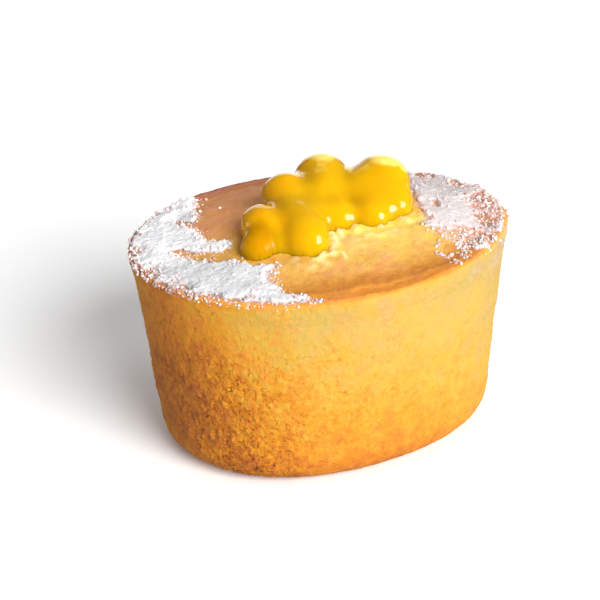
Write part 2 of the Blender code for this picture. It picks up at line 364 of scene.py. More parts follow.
# Clumps on the outside of the rim: (first angle, last angle, how many)
RIM_GRAINS = ((-176.0, -132.0, 46), (-134.0, -108.0, 14), (-60.0, 20.0, 24), (120.0, 184.0, 70))
RIM_GRAIN_DROPS = (0.2, 1.1)  # how far below the top of the rim they hang, of its rounding

# Colours, linear. The stops run from the palest crumb to the brownest.
WALL_STOPS = (
    (0.0, (0.44, 0.345, 0.19)),
    (0.2, (0.40, 0.275, 0.072)),
    (0.35, (0.445, 0.292, 0.056)),
    (0.5, (0.495, 0.276, 0.032)),
    (0.65, (0.53, 0.224, 0.016)),
    (0.8, (0.465, 0.16, 0.012)),
    (0.9, (0.38, 0.125, 0.013)),
    (1.0, (0.27, 0.08, 0.015)),
)
TOP_STOPS = (
    (0.0, (0.80, 0.58, 0.11)),
    (0.2, (0.71, 0.48, 0.10)),
    (0.4, (0.65, 0.39, 0.08)),
    (0.6, (0.58, 0.30, 0.06)),
    (0.8, (0.48, 0.215, 0.037)),
    (1.0, (0.40, 0.145, 0.020)),
)
BAND_COLOUR = (0.66, 0.252, 0.033, 1.0)
BACK_COLOUR = (0.75, 0.33, 0.115, 1.0)
BACK_MOTTLE_COLOUR = (0.66, 0.25, 0.088, 1.0)
BACK_BAND_COLOUR = (0.46, 0.185, 0.078, 1.0)
BACK_EDGE_COLOUR = (0.28, 0.09, 0.055, 1.0)
PAINTED_PORE_SHADE = (0.30, 0.10, 0.012, 1.0)
PAINTED_CREASE_SHADE = (0.90, 0.78, 0.45, 1.0)
PAINTED_CREST_HIGHLIGHT = (1.05, 1.15, 1.6, 1.0)
PAINTED_PIT_SHADE = (0.82, 0.62, 0.34, 1.0)
BLUSH_TINT = (1.02, 0.93, 1.5, 1.0)
GLOW_TINT = (1.0, 0.98, 0.25, 1.0)
CURD_COLOUR = (0.55, 0.305, 0.001, 1.0)
CURD_PAINTED_SHADE_COLOUR = (0.43, 0.20, 0.001, 1.0)
CURD_PAINTED_LIGHT_COLOUR = (0.68, 0.335, 0.001, 1.0)
CLUMP_COLOUR = (0.72, 0.575, 0.27, 1.0)
STRAND_COLOUR = (0.84, 0.70, 0.38, 1.0)
PAINTED_SHEEN_COLOUR = (0.84, 0.62, 0.15, 1.0)
SUGAR_COLOUR = (0.93, 0.93, 0.94, 1.0)
THIN_SUGAR_COLOUR = (0.545, 0.485, 0.48, 1.0)
COOL_SUGAR_COLOUR = (0.55, 0.55, 0.56, 1.0)
SOAKED_SUGAR_COLOUR = (0.62, 0.22, 0.13, 1.0)
LEFT_SOAKED_COLOUR = (0.44, 0.20, 0.12, 1.0)
FLOOR_COLOUR = (0.92, 0.92, 0.92, 1.0)
WHITE = (1.0, 1.0, 1.0, 1.0)
GRIT_STOPS = ((0.36, (0.86, 0.85, 0.87)), (0.52, (1.0, 1.0, 1.0)))
GRAIN_GRIT_STOPS = ((0.38, (0.88, 0.50, 0.42)), (0.56, (1.0, 1.0, 1.0)))

# Light, floor and camera
SKY_STRENGTH = 0.155
# Soft lights: (name, azimuth, elevation, strength, width in degrees, if it lights, if it glints)
LIGHTS = (
    ("key", -80.0, 26.5, 5.6, 40.0, True, False),
    ("side", -22.0, 10.0, 1.0, 22.0, True, False),
    ("overhead", 0.0, 90.0, 0.7, 80.0, True, False),
    ("glint", -42.0, 8.0, 5.2, 32.0, False, True),
    ("backdrop", 72.0, 5.0, 0.75, 44.0, False, True),
    ("left_edge", 140.0, 6.0, 0.4, 30.0, False, True),
)
FLOOR_GLOW = 0.055
FLOOR_HALF = 5.0
FLOOR_GAP = 0.00002  # under the cake
CAMERA_AZIMUTH = -112.0
CAMERA_ELEVATION = 26.7
CAMERA_ROLL = -2.23
CAMERA_DISTANCE = 0.6
CAMERA_TARGET = Vector((0.0, 0.0, 0.022))
FRAME_PIXELS = 600
FOCAL_PIXELS = 2871.6
TARGET_RIGHT_PIXELS = 23.2  # the target lies this far right of the frame's middle
TARGET_BELOW_PIXELS = 27.5
SENSOR_WIDTH = 36.0  # in millimetres


def waves(terms, angle):
    """The sum of a few slow waves round the oval."""
    return sum(c * cos(n * angle) + s * sin(n * angle) for n, c, s in terms)


def bumps(point, sizes):
    """Smooth unevenness of several widths, as a height."""
    return sum(depth * noise.noise(point / width) for width, depth in sizes)


def smooth(t):
    t = min(1.0, max(0.0, t))
    return t * t * (3.0 - 2.0 * t)


def fade(value, limits):
    """0 below the first limit, rising smoothly to 1 over the second."""
    start, width = limits
    return smooth((value - start) / width)


def bell(offset, spread):
    """1 where the offset is 0, falling to 0 on both sides."""
    return exp(-((offset / spread) ** 2))


def in_spots(x, y, spots, softness):
    """How strong the strongest of some round spots is at a place."""
    start, slope = softness
    strength = 0.0
    for spot_x, spot_y, radius, most in spots:
        away = hypot(x - spot_x, y - spot_y) / radius
        strength = max(strength, most * smooth(start - slope * away))
    return strength


def outline(angle, inset):
    """The oval moved in by inset, as (x, y), with the cake's slow unevenness."""
    x = HALF_LENGTH * cos(angle)
    y = HALF_WIDTH * sin(angle)
    outwards = Vector((x / HALF_LENGTH**2, y / HALF_WIDTH**2)).normalized()
    out = waves(OUTLINE_WAVES, angle) - inset
    return x + outwards.x * out, y + outwards.y * out


def rim_middle_x():
    """How far the uneven outline lies off the middle of the oval."""
    return (outline(0.0, 0.0)[0] + outline(pi, 0.0)[0]) / 2


def share_of(x, y):
    return hypot(x / HALF_LENGTH, y / HALF_WIDTH)


def angle_of(x, y):
    return atan2(y / HALF_WIDTH, x / HALF_LENGTH)


def top_height(x, y):
    """Height of the top crust over a point inside the rim."""
    share = share_of(x, y)
    rise = 1.0 - (share / DOME_SHARE) ** DOME_POWER
    dome = DOME_RISE * 0.5 * (rise + hypot(rise, DOME_SOFTNESS))
    groove = GROOVE_DEPTH * bell(share - GROOVE_SHARE, GROOVE_SPREAD)
    rim = RIM_HEIGHT + min(share, 1.0) * waves(RIM_WAVES, angle_of(x, y))
    return rim + dome - groove + bumps(Vector((x, y, RIM_HEIGHT)), CRAG_SIZES)


def wall_inset(height):
    """How far the wall lies inside the rim's outline at a height, with the lip at its top."""
    taper = WALL_TAPER * (1.0 - height / RIM_HEIGHT)
    up_the_lip = min(1.0, max(0.0, (height - RIM_HEIGHT + 2 * LIP_HEIGHT) / LIP_HEIGHT))
    return taper + LIP_PROUD * (1.0 - up_the_lip)


def wall_point(angle, inset, height):
    """A point of the wall, with the crags pushed outwards."""
    lift = waves(RIM_WAVES, angle) * height / RIM_HEIGHT
    x, y = outline(angle, inset)
    crags = bumps(Vector((x, y, height)), CRAG_SIZES) * min(1.0, height / BASE_ROUND)
    x, y = outline(angle, inset - crags)
    return Vector((x, y, height + lift))


def wall_profile():
    """(inset, height) of each row, from the flat base up to the rim."""
    rows = []
    foot = wall_inset(BASE_ROUND)
    for i in range(FILLET_ROWS + 1):
        turn = 0.5 * pi * i / FILLET_ROWS
        inset = foot + BASE_ROUND * (1.0 - sin(turn))
        rows.append((inset, BASE_ROUND * (1.0 - cos(turn))))
    top = RIM_HEIGHT - RIM_ROUND
    for i in range(1, WALL_ROWS + 1):
        height = BASE_ROUND + (top - BASE_ROUND) * i / WALL_ROWS
        rows.append((wall_inset(height), height))
    for i in range(1, RIM_ROWS):
        turn = 0.5 * pi * i / RIM_ROWS
        inset = RIM_ROUND * (1.0 - cos(turn))
        rows.append((inset, RIM_HEIGHT - RIM_ROUND * (1.0 - sin(turn))))
    return rows


def top_point(x_turn, y_turn):
    """A point of the top crust from a place in a square, each way from -45 to 45 degrees."""
    x = sqrt(2.0) * sin(x_turn) * cos(y_turn)
    y = sqrt(2.0) * sin(y_turn) * cos(x_turn)
    out = hypot(x, y)
    edge_x, edge_y = outline(atan2(y, x), RIM_ROUND)
    x, y = edge_x * out, edge_y * out
    return Vector((x, y, top_height(x, y)))


def square_loop(cells):
    """The border cells' corners of a square grid, in order round the oval from -45 degrees."""
    right = [(cells, j) for j in range(cells)]
    back = [(cells - i, cells) for i in range(cells)]
    left = [(0, cells - j) for j in range(cells)]
    front = [(i, 0) for i in range(cells)]
    return right + back + left + front


def cake_geometry():
    """Points and faces of the cake before its fine relief."""
    columns = 4 * TOP_CELLS
    angles = [(-0.25 + 0.5 * i / TOP_CELLS) * pi for i in range(columns)]
    profile = wall_profile()
    foot = [wall_point(angle, *profile[0]) for angle in angles]
    rings = [[point * share for point in foot] for share in BASE_SHARES]
    rings += [[wall_point(angle, *row) for angle in angles] for row in profile]
    points = [Vector((0.0, 0.0, 0.0))] + [point for ring in rings for point in ring]
    faces = []
    for i in range(columns):
        faces.append((0, 1 + (i + 1) % columns, 1 + i))
    for row in range(len(rings) - 1):
        first = 1 + row * columns
        for i in range(columns):
            j = (i + 1) % columns
            faces.append((first + i, first + j, first + columns + j, first + columns + i))

    first = len(points)
    side = TOP_CELLS + 1
    turns = [(-0.25 + 0.5 * i / TOP_CELLS) * pi for i in range(side)]
    points += [top_point(x_turn, y_turn) for y_turn in turns for x_turn in turns]
    for j in range(TOP_CELLS):
        for i in range(TOP_CELLS):
            corner = first + j * side + i
            faces.append((corner, corner + 1, corner + side + 1, corner + side))
    border = [first + j * side + i for i, j in square_loop(TOP_CELLS)]
    last = first - columns
    for i in range(columns):
        j = (i + 1) % columns
        faces.append((last + i, last + j, border[j], border[i]))
    return points, faces


def pore(point):
    """Depth share of a small pore at a point, 0 where there is none."""
    distances, cells = noise.voronoi(point / PORE_SPACING)
    draw = 0.5 + 0.5 * noise.noise(cells[0] * PORE_SHUFFLE)
    if draw < PORE_LEAST_DRAW:
        return 0.0
    radius = PORE_RADIUS * (0.5 + draw) / PORE_SPACING
    return smooth(1.0 - distances[0] / radius)


def crumb(point, sizes):
    """Pebbly relief: round bumps with creases between them."""
    (slow, slow_depth), *fine = sizes
    height = slow_depth * noise.noise(point / slow)
    for width, depth in fine:
        height += depth * (2.0 * abs(noise.noise(point / width)) - FOLD_MEAN)
    return height


def degrees_of(point):
    return degrees(angle_of(point.x, point.y))


def arc(angle, limits):
    """1 along an arc of the oval, fading to 0 at both its ends."""
    middle, half, width = limits
    return smooth((half - abs(angle - middle)) / width)


def towards(angle, end):
    """1 at an end of the oval, falling to 0 a quarter turn away."""
    middle, narrowness = end
    return max(0.0, cos(radians(angle - middle))) ** narrowness


def by_end(terms, left, right):
    """A value from its share all round, what the left end adds and what the right end adds."""
    all_round, at_left, at_right = terms
    return all_round + at_left * left + at_right * right


def low_down(point):
    """1 on the lower wall, 0 near the rim."""
    return fade(-point.z, LOW_FADE)


def pitted_place(point):
    """1 in the middle of the pitted place low down on the wall, 0 far off it."""
    middle, spread = PITTED_ARC
    return bell(degrees_of(point) - middle, spread) * low_down(point)


def wall_bake(point):
    """How brown the wall is: paler near the rim and at the right end, browner below and left."""
    angle = degrees_of(point)
    down = max(0.0, 1.0 - point.z / RIM_HEIGHT)
    left, right = towards(angle, BROWN_END), towards(angle, PALE_END)
    bake = by_end(RIM_BAKE, left, right) + by_end(FOOT_BAKE, left, right) * down**FOOT_POWER
    bake -= LEFT_FADE * left * (down - LEFT_MIDDLE) ** 2
    bake += bumps(point, WALL_BAKE_BUMPS) + PITTED_BAKE * pitted_place(point)
    bake += by_end(HIDDEN_BAKE, left, right) * arc(angle, HIDDEN_ARC)
    edge = EDGE_BAKE * bell(point.z - EDGE_HEIGHT, EDGE_SPREAD)
    return bake + edge * (1.0 - arc(angle, PALE_ARC))


def pittedness(point):
    """How pitted the wall is."""
    pitted = LOW_ROUGHNESS * low_down(point) + PITTED_ROUGHNESS * pitted_place(point)
    return ROUGHNESS + pitted + bumps(point, ROUGHNESS_BUMPS)


def past_ring(point):
    """How far a point lies outside the brown ring of the top crust, as a share."""
    middle, spread, inwards = RING_FRONT
    ring = RING_SHARE - inwards * bell(degrees_of(point) - middle, spread)
    return share_of(point.x, point.y) - ring + bumps(point, RING_BUMPS)


def top_bake(point):
    """How brown the top crust is: a pale dome towards the front inside a brown ring."""
    x, y, half_length, half_width = PALE_OVAL
    away = hypot((point.x - x) / half_length, (point.y - y) / half_width)
    bake = PALE_BAKE + (CRUST_BAKE - PALE_BAKE) * smooth(away)
    out = past_ring(point)
    inner, outer = RING_SPREADS
    bake += (RING_BAKE - bake) * bell(out, inner if out < 0.0 else outer)
    return bake + bumps(point, TOP_BAKE_BUMPS)


def back_brown(point):
    """The top crust behind the curd and to its left is a duller, pinkish brown."""
    return fade(point.y - BACK_SLOPE * point.x, BACK_FADE)


def from_curd(point):
    """How far a point lies outside the curd's lobes, seen from above."""
    return min(hypot(point.x - x, point.y - y) - radius for x, y, _, radius in CURD_LOBES)


def curd_glow(point):
    """The crust close to the curd looks yellower."""
    return smooth(1.0 - max(0.0, from_curd(point)) / GLOW_REACH)


def lumps(point):
    """Height of the soft lumps of crumb on the top crust."""
    width, unevenness = LUMP_UNEVENNESS
    height = 0.0
    for x, y, radius, rise in TOP_LUMPS:
        away = hypot(point.x - x, point.y - y)
        away *= 1.0 + unevenness * noise.noise(point / width + Vector((x, y, 0.0)))
        height = max(height, rise * smooth(LUMP_STEEPNESS * (1.0 - away / radius)))
    return height


def clumps(point):
    """1 on a small clump of pale crumb in front of the curd, 0 off the clumps."""
    close = fade(-from_curd(point), CLUMP_CURD_FADE)
    close *= fade(-point.y, CLUMP_BACK_FADE) * fade(point.x, CLUMP_LEFT_FADE)
    return close * fade(noise.noise(point / CLUMP_WIDTH), CLUMP_FADE)


def stroke_distance(x, y, stroke):
    x0, y0, x1, y1, half = stroke
    along = Vector((x1 - x0, y1 - y0))
    out = Vector((x - x0, y - y0))
    t = min(1.0, max(0.0, out.dot(along) / along.length_squared))
    return (out - along * t).length - half


def strand(point):
    """1 on a pale strand, 0 off it."""
    wander = bumps(point, STRAND_WANDER)
    gap = min(stroke_distance(point.x + wander, point.y, stroke) for stroke in STRANDS)
    return smooth(1.0 - gap / STRAND_SOFTNESS) if gap < STRAND_SOFTNESS else 0.0


def from_rim(x, y):
    """How far a place on the top crust lies inside the rim."""
    share = share_of(x, y)
    slope = hypot(x / HALF_LENGTH**2, y / HALF_WIDTH**2)
    return (1.0 - share) * share / slope if slope > 0.0 else HALF_WIDTH


def crust_height(x, y):
    """Height of the finished crust over a place, down over the rounded rim too."""
    point = Vector((x, y, top_height(x, y)))
    over = max(0.0, RIM_ROUND - max(0.0, from_rim(x, y)))
    drop = RIM_ROUND - sqrt(RIM_ROUND**2 - over**2)
    return point.z + crumb(point, TOP_BUMPS) + lumps(point) - drop


def new_object(name, data):
    obj = bpy.data.objects.new(name, data)
    bpy.context.scene.collection.objects.link(obj)
    return obj


def new_mesh_piece(name, points, faces, material):
    """A mesh in millimetres, moved so that the uneven rim is centred, as an object in metres."""
    mesh = bpy.data.meshes.new(name)
    mesh.from_pydata(points, [], faces)
    shift = Matrix.Translation((-rim_middle_x(), 0.0, 0.0))
    mesh.transform(Matrix.Scale(MM, 4) @ shift)
    mesh.materials.append(material)
    mesh.shade_smooth()
    return new_object(name, mesh)


def set_attribute(piece, name, values):
    layer = piece.data.attributes.new(name, "FLOAT", "POINT")
    layer.data.foreach_set("value", values)


def normals_of(points, faces):
    mesh = bpy.data.meshes.new("normals")
    mesh.from_pydata(points, [], faces)
    normals = [Vector(item.vector) for item in mesh.vertex_normals]
    bpy.data.meshes.remove(mesh)
    return normals


def dusting(x, y):
    """How much loose powder lies on the crust round the drifts."""
    return fade(max(drift_reach(x, y, drift) for drift in (LEFT_DRIFT, RIGHT_DRIFT)), DUST_FADE)


def dress(point, normal):
    """A point of the cake moved by its fine relief, and the values that colour the crust there."""
    on_top = fade(normal.z, TOP_FADE)
    browned = wall_bake(point)
    hole = pore(point) * (1.0 - PORES_LOST_ON_TOP * on_top)
    hole *= fade(point.z, BASE_FADE) * fade(browned, PORE_BAKE_FADE)
    pitted = pittedness(point)
    wall = crumb(point, CRUMB_BUMPS) * (CRUMB_CALM + (1.0 - CRUMB_CALM) * pitted)
    top = crumb(point, TOP_BUMPS)
    line, clump = (strand(point), clumps(point)) if on_top > 0.5 else (0.0, 0.0)
    top_relief = top + lumps(point) + STRAND_HEIGHT * line + CLUMP_HEIGHT * clump
    height = (wall + (top_relief - wall) * on_top) * fade(point.z, BASE_FADE) - PORE_DEPTH * hole
    near_rim = point.z > RIM_HEIGHT - NEAR_RIM_DROP and share_of(point.x, point.y) > NEAR_RIM_SHARE
    out = past_ring(point) if near_rim else 1.0
    behind = back_brown(point)
    not_pale = 1.0 - PALE_BAND_LOSS * arc(degrees_of(point), PALE_ARC)
    looks = {
        "bake": browned * (1.0 - on_top) + top_bake(point) * on_top,
        "crust": on_top,
        "pore": hole,
        "dust": dusting(point.x, point.y) if near_rim else 0.0,
        "relief": 0.5 + (wall * (1.0 - on_top) + top * on_top) / RELIEF_RANGE,
        "band": fade(out + BACK_BAND_WIDENING * behind, BAND_FADE) * not_pale,
        "edge": fade(out, BACK_EDGE_FADE) * behind,
        "rough": pitted * (1.0 - on_top) + TOP_ROUGHNESS * on_top,
        "back": behind * on_top,
        "glow": curd_glow(point) * on_top,
        "strand": line,
        "clump": clump,
    }
    return point + normal * height, looks


def make_cake(material):
    points, faces = cake_geometry()
    dressed = [dress(point, normal) for point, normal in zip(points, normals_of(points, faces))]
    cake = new_mesh_piece("cake_crumb", [point for point, _ in dressed], faces, material)
    for name in dressed[0][1]:
        set_attribute(cake, name, [looks[name] for _, looks in dressed])
    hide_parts("cake")
    return cake


# Painted shade over the lower left lobe, on top of a random deeper tone all over the curd
def curd_shade_and_tone(point):
    spots = in_spots(point.x, point.y, PAINTED_SHADE_SPOTS, SPOT_SOFTNESS)
    return DEEP_BASE + spots + bumps(point, DEEP_BUMPS)


def painted_sheen(point, normal):
    """1 where the painted sheen lies on a lobe, 0 off it."""
    share = 0.0
    for x, y, radius, facing in CURD_PAINTED_SHEENS:
        turned = normal.dot(Vector(facing).normalized()) + bumps(point, PAINTED_SHEEN_BUMPS)
        inside = fade(radius - hypot(point.x - x, point.y - y), PAINTED_SHEEN_EDGE_FADE)
        share = max(share, inside * fade(turned, PAINTED_SHEEN_TURN_FADE))
    return share


def curd_mesh():
    """Points and faces of the piped lobes, run together."""
    ball = bpy.data.metaballs.new("curd_lobes")
    ball.threshold = CURD_THRESHOLD
    ball.resolution = CURD_STEP
    reach = sqrt(1.0 - (CURD_THRESHOLD / CURD_STIFFNESS) ** (1.0 / 3.0))
    for x, y, lift, radius in CURD_LOBES:
        half = (CURD_ROOT + lift) / 2
        element = ball.elements.new(type="CAPSULE")
        element.co = (x, y, top_height(x, y) + lift - half)
        element.rotation = Quaternion((0.0, 1.0, 0.0), radians(90))
        element.size_x = half
        element.radius = radius / reach
        element.stiffness = CURD_STIFFNESS
    obj = new_object("curd_lobes", ball)
    bpy.context.view_layer.update()
    evaluated = obj.evaluated_get(bpy.context.evaluated_depsgraph_get())
    mesh = evaluated.to_mesh()
    points = [vertex.co.copy() for vertex in mesh.vertices]
    faces = [tuple(polygon.vertices) for polygon in mesh.polygons]
    evaluated.to_mesh_clear()
    bpy.data.objects.remove(obj)
    return points, faces


def make_curd(material):
    """The piped lobes, sunk a little into the crust."""
    points, faces = curd_mesh()
    for point in points:
        point.z = max(point.z, top_height(point.x, point.y) - CURD_SINK)
    curd = new_mesh_piece("curd_lobes", points, faces, material)
    lit_share = [in_spots(point.x, point.y, PAINTED_LIGHT_SPOTS, SPOT_SOFTNESS) for point in points]
    set_attribute(curd, "painted_sheen", [painted_sheen(*row) for row in zip(points, normals_of(points, faces))])
    set_attribute(curd, "shade_and_tone", [curd_shade_and_tone(point) for point in points])
    set_attribute(curd, "painted_light", lit_share)
    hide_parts("curd")
    return curd


def edge_x(edge, y):
    """X of a drift's inner edge at y, smoothed between its points."""
    for (y0, x0), (y1, x1) in zip(edge, edge[1:]):
        if y <= y1:
            return x0 + (x1 - x0) * smooth((y - y0) / (y1 - y0))
    return edge[-1][1]


def drift_reach(x, y, drift):
    """How far a point lies inside a drift of sugar, below 0 outside it."""
    inner = drift.side * (x - edge_x(drift.edge, y))
    to_rim = drift.back_share * fade(y, SUGAR_BACK_FADE)
    outer = (SUGAR_OUTER_SHARE + to_rim - share_of(x, y)) * HALF_WIDTH
    outer += bumps(Vector((x, y, OUTER_LEVEL)), SUGAR_OUTER_BUMPS)
    ends = min(y - drift.edge[0][0], drift.edge[-1][0] - y)
    strokes = [stroke_distance(x, y, stroke) for stroke in drift.bare]
    return min(inner, outer, ends, *strokes)


def sparseness(x, y, spots):
    """The share of the sugar that is missing at a point."""
    return in_spots(x, y, spots, SPARSE_SOFTNESS)


def sugar_depth(x, y, drift):
    """Thickness of the sugar over a point, below 0 where the crust is bare."""
    reach = drift_reach(x, y, drift)
    place = Vector((x, y, BODY_LEVEL * drift.side))
    missing = sparseness(x, y, drift.sparse)
    speckle = bumps(place, SPECKLE_BUMPS)
    fray = smooth(1.0 - abs(reach) / FRAY_WIDTH)
    body = SUGAR_THICKNESS * SUGAR_BODY * fade(reach, SUGAR_EDGE_FADE)
    body *= 1.0 - SPARSE_THINNING * missing
    holes = missing * (HOLE_SHARE + HOLE_SPECKLE * speckle) + fray * FRAY_SPECKLE * speckle
    in_ring = bell(share_of(x, y) - SUGAR_FILL_SHARE, GROOVE_SPREAD)
    body += drift.fill * in_ring * smooth(reach / SUGAR_FILL_SLOPE) * (1.0 - missing)
    return body + bumps(place, SUGAR_BUMPS) - holes - SUGAR_WEAR - smooth(-reach / SUGAR_FALL)


def thinness(x, y, drift):
    """How thin and grey the powder looks: grey at the front and all over the right end, partly thin
    powder and partly painted shade.
    """
    patch = bumps(Vector((x, y, THIN_LEVEL)), THIN_BUMPS)
    if drift.side > 0:
        return RIGHT_THINNESS_AND_SHADE + patch - SPARSE_WHITENESS * sparseness(x, y, drift.sparse)
    front = BACK_THINNESS + FRONT_THINNESS_AND_SHADE * fade(-y, FRONT_FADE)
    return max(front, RIM_THINNESS * fade(share_of(x, y), RIM_FADE)) + patch


def drift_at(x):
    return LEFT_DRIFT if x < 0.0 else RIGHT_DRIFT


def drift_grid(drift):
    """Where the corners of a drift's grid are, how deep it is there, and its cells with sugar."""
    low_x, high_x = drift.across
    low_y, high_y = drift.edge[0][0] - SUGAR_MARGIN, drift.edge[-1][0] + SUGAR_MARGIN
    columns = int((high_x - low_x) / SUGAR_CELL)
    rows = int((high_y - low_y) / SUGAR_CELL)
    places, depth, cells = {}, {}, []
    for j in range(rows + 1):
        for i in range(columns + 1):
            x, y = low_x + i * SUGAR_CELL, low_y + j * SUGAR_CELL
            if share_of(x, y) < SUGAR_LAST_SHARE:
                places[i, j] = (x, y)
                depth[i, j] = sugar_depth(x, y, drift)
    for j in range(rows):
        for i in range(columns):
            corners = ((i, j), (i + 1, j), (i + 1, j + 1), (i, j + 1))
            if all(corner in depth for corner in corners):
                if max(depth[corner] for corner in corners) > 0.0:
                    cells.append(corners)
    return places, depth, cells


def make_drift(name, node, drift, material):
    """A drift of sugar as a closed skin over the crust, with the crust showing between clumps."""
    places, depth, cells = drift_grid(drift)
    upper, lower = {}, {}
    points, faces = [], []
    looks = {"depth": [], "thin": [], "gap": []}
    for key in (corner for corners in cells for corner in corners):
        if key in upper:
            continue
        x, y = places[key]
        height = crust_height(x, y)
        missing = sparseness(x, y, drift.sparse)
        rise = max((1.0 - SPARSE_FLATNESS * missing) * depth[key], -0.5 * SUGAR_SINK)
        upper[key], lower[key] = len(points), len(points) + 1
        points += [Vector((x, y, height + rise)), Vector((x, y, height - SUGAR_SINK))]
        looks["depth"] += [depth[key], 0.0]
        looks["thin"] += [thinness(x, y, drift)] * 2
        looks["gap"] += [missing] * 2
    edges = set()
    for corners in cells:
        faces.append(tuple(upper[key] for key in corners))
        faces.append(tuple(lower[key] for key in reversed(corners)))
        edges.update(zip(corners, corners[1:] + corners[:1]))
    for a, b in sorted(edges):
        if (b, a) not in edges:
            faces.append((lower[a], lower[b], upper[b], upper[a]))
    piece = new_mesh_piece(name, points, faces, material)
    looks["right"] = [float(drift.side > 0)] * len(points)
    for attribute, values in looks.items():
        set_attribute(piece, attribute, values)
    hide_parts(node)
    return piece


def spill(x, y):
    """How likely a loose clump lies in front of the right drift."""
    return in_spots(x, y, SPILLS, SPOT_SOFTNESS)


def clumpiness(x, y):
    """0 where the grains are fine, 1 where many are large."""
    left = LEFT_CLUMPINESS * sparseness(x, y, SPARSE_LEFT)
    return max(left, sparseness(x, y, SPARSE_RIGHT), smooth(SPILL_CLUMPINESS * spill(x, y)))


def grain_weight(x, y):
    """How likely a loose grain lies at a place: thickest along the edges of the drifts."""
    reach = max(drift_reach(x, y, LEFT_DRIFT), drift_reach(x, y, RIGHT_DRIFT))
    if reach < 0.0:
        share, distance = OUTER_GRAINS
        return max(share * exp(reach / distance), spill(x, y))
    share, distance = INNER_GRAINS
    missing = sparseness(x, y, SPARSE_LEFT + SPARSE_RIGHT)
    return GRAINS_ON_TOP + share * exp(-reach / distance) + SPARSE_GRAINS * missing


def grain_height(x, y):
    """Height of what a grain rests on, the crust or the sugar on it."""
    return crust_height(x, y) + max(0.0, sugar_depth(x, y, drift_at(x)))


def grain_places(draw):
    """(place, size) of each loose grain on the crust and of those that hang on the rim."""
    small, large = GRAIN_SIZES
    places = []
    while len(places) < GRAIN_COUNT:
        turn = draw.uniform(-pi, pi)
        share = sqrt(draw.uniform(GRAIN_LEAST_AREA, 1.0))
        x, y = HALF_LENGTH * share * cos(turn), HALF_WIDTH * share * sin(turn)
        if draw.random() < grain_weight(x, y):
            rarity = FINE_RARITY - CLUMPY_RARITY * clumpiness(x, y)
            size = small + (large - small) * draw.random() ** rarity
            places.append((Vector((x, y, grain_height(x, y) + GRAIN_LIFT * size)), size))
    for first, last, count in RIM_GRAINS:
        for _ in range(count):
            angle = radians(draw.uniform(first, last))
            highest, lowest = RIM_GRAIN_DROPS
            drop = highest + (lowest - highest) * draw.random() ** 2
            height = RIM_HEIGHT - RIM_ROUND * drop
            size = small + (large - small) * draw.random() ** RIM_GRAIN_RARITY
            places.append((wall_point(angle, wall_inset(height), height), size))
    return places


def make_grains(material):
    """Loose grains and small clumps of icing sugar as one mesh."""
    draw = random.Random(GRAIN_SEED)
    ball = bmesh.new()
    bmesh.ops.create_icosphere(ball, subdivisions=1, radius=0.5)
    corners = [vertex.co.copy() for vertex in ball.verts]
    triangles = [tuple(vertex.index for vertex in face.verts) for face in ball.faces]
    ball.free()
    points, faces, thin, right = [], [], [], []
    for place, size in grain_places(draw):
        drift = drift_at(place.x)
        thin += [thinness(place.x, place.y, drift)] * len(corners)
        right += [float(drift.side > 0)] * len(corners)
        turn = Quaternion([draw.gauss(0.0, 1.0) for _ in range(4)]).normalized()
        stretch = Vector([size * draw.uniform(*GRAIN_STRETCH) for _ in range(3)])
        first = len(points)
        for corner in corners:
            lumpy = corner * draw.uniform(*GRAIN_LUMPS)
            points.append(place + turn @ Vector([a * b for a, b in zip(lumpy, stretch)]))
        faces += [tuple(first + i for i in triangle) for triangle in triangles]
    grains = new_mesh_piece("sugar_grains", points, faces, material)
    set_attribute(grains, "thin", thin)
    set_attribute(grains, "right", right)
    return grains


def add_node(tree, kind, **settings):
    node = tree.nodes.new(kind)
    for name, value in settings.items():
        setattr(node, name, value)
    return node


def feed(node, values):
    """Links or sets a node's inputs, by name or by number."""
    for key, value in values.items():
        if isinstance(value, bpy.types.NodeSocket):
            node.id_data.links.new(value, node.inputs[key])
        else:
            node.inputs[key].default_value = value


def noise_of(tree, place, width, detail=2.0, roughness=0.5):
    """A noise texture whose bumps are about width millimetres across."""
    texture = add_node(tree, "ShaderNodeTexNoise")
    feed(texture, {"Vector": place, "Scale": 1.0 / (width * MM)})
    feed(texture, {"Detail": detail, "Roughness": roughness})
    return texture.outputs["Fac"]


def math_of(tree, operation, first, second, clamp=False):
    node = add_node(tree, "ShaderNodeMath", operation=operation, use_clamp=clamp)
    feed(node, {0: first, 1: second})
    return node.outputs[0]


def ramp_of(tree, factor, stops):
    ramp = add_node(tree, "ShaderNodeValToRGB")
    elements = ramp.color_ramp.elements
    while len(elements) < len(stops):
        elements.new(0.5)
    for element, (place, colour) in zip(elements, stops):
        element.position = place
        element.color = (*colour, 1.0)
    feed(ramp, {"Fac": factor})
    return ramp.outputs["Color"]


def mix_of(tree, factor, first, second, blend="MIX"):
    node = add_node(tree, "ShaderNodeMix", data_type="RGBA", blend_type=blend)
    feed(node, {"Factor": factor, 6: first, 7: second})
    return node.outputs[2]


def attribute_of(tree, name):
    return add_node(tree, "ShaderNodeAttribute", attribute_name=name).outputs["Fac"]


def times(tree, first, second, clamp=False):
    return math_of(tree, "MULTIPLY", first, second, clamp)


def mask_of(tree, value, start, gain):
    """0 where a value is at start, and 1 where it is past it by one gain-th."""
    return times(tree, math_of(tree, "SUBTRACT", value, start), gain, clamp=True)


def line_of(tree, value, start, slope, clamp=False):
    return math_of(tree, "ADD", times(tree, value, slope), start, clamp)


def painted(tree, colour, name, paint, share=1.0):
    """A colour with a paint over it where a named value of the mesh says, as far as its share."""
    return mix_of(tree, times(tree, attribute_of(tree, name), share), colour, paint)


def tinted(tree, factor, colour, tint):
    """A colour multiplied by a tint, as far as the factor says."""
    return mix_of(tree, factor, colour, mix_of(tree, 1.0, colour, tint, "MULTIPLY"))


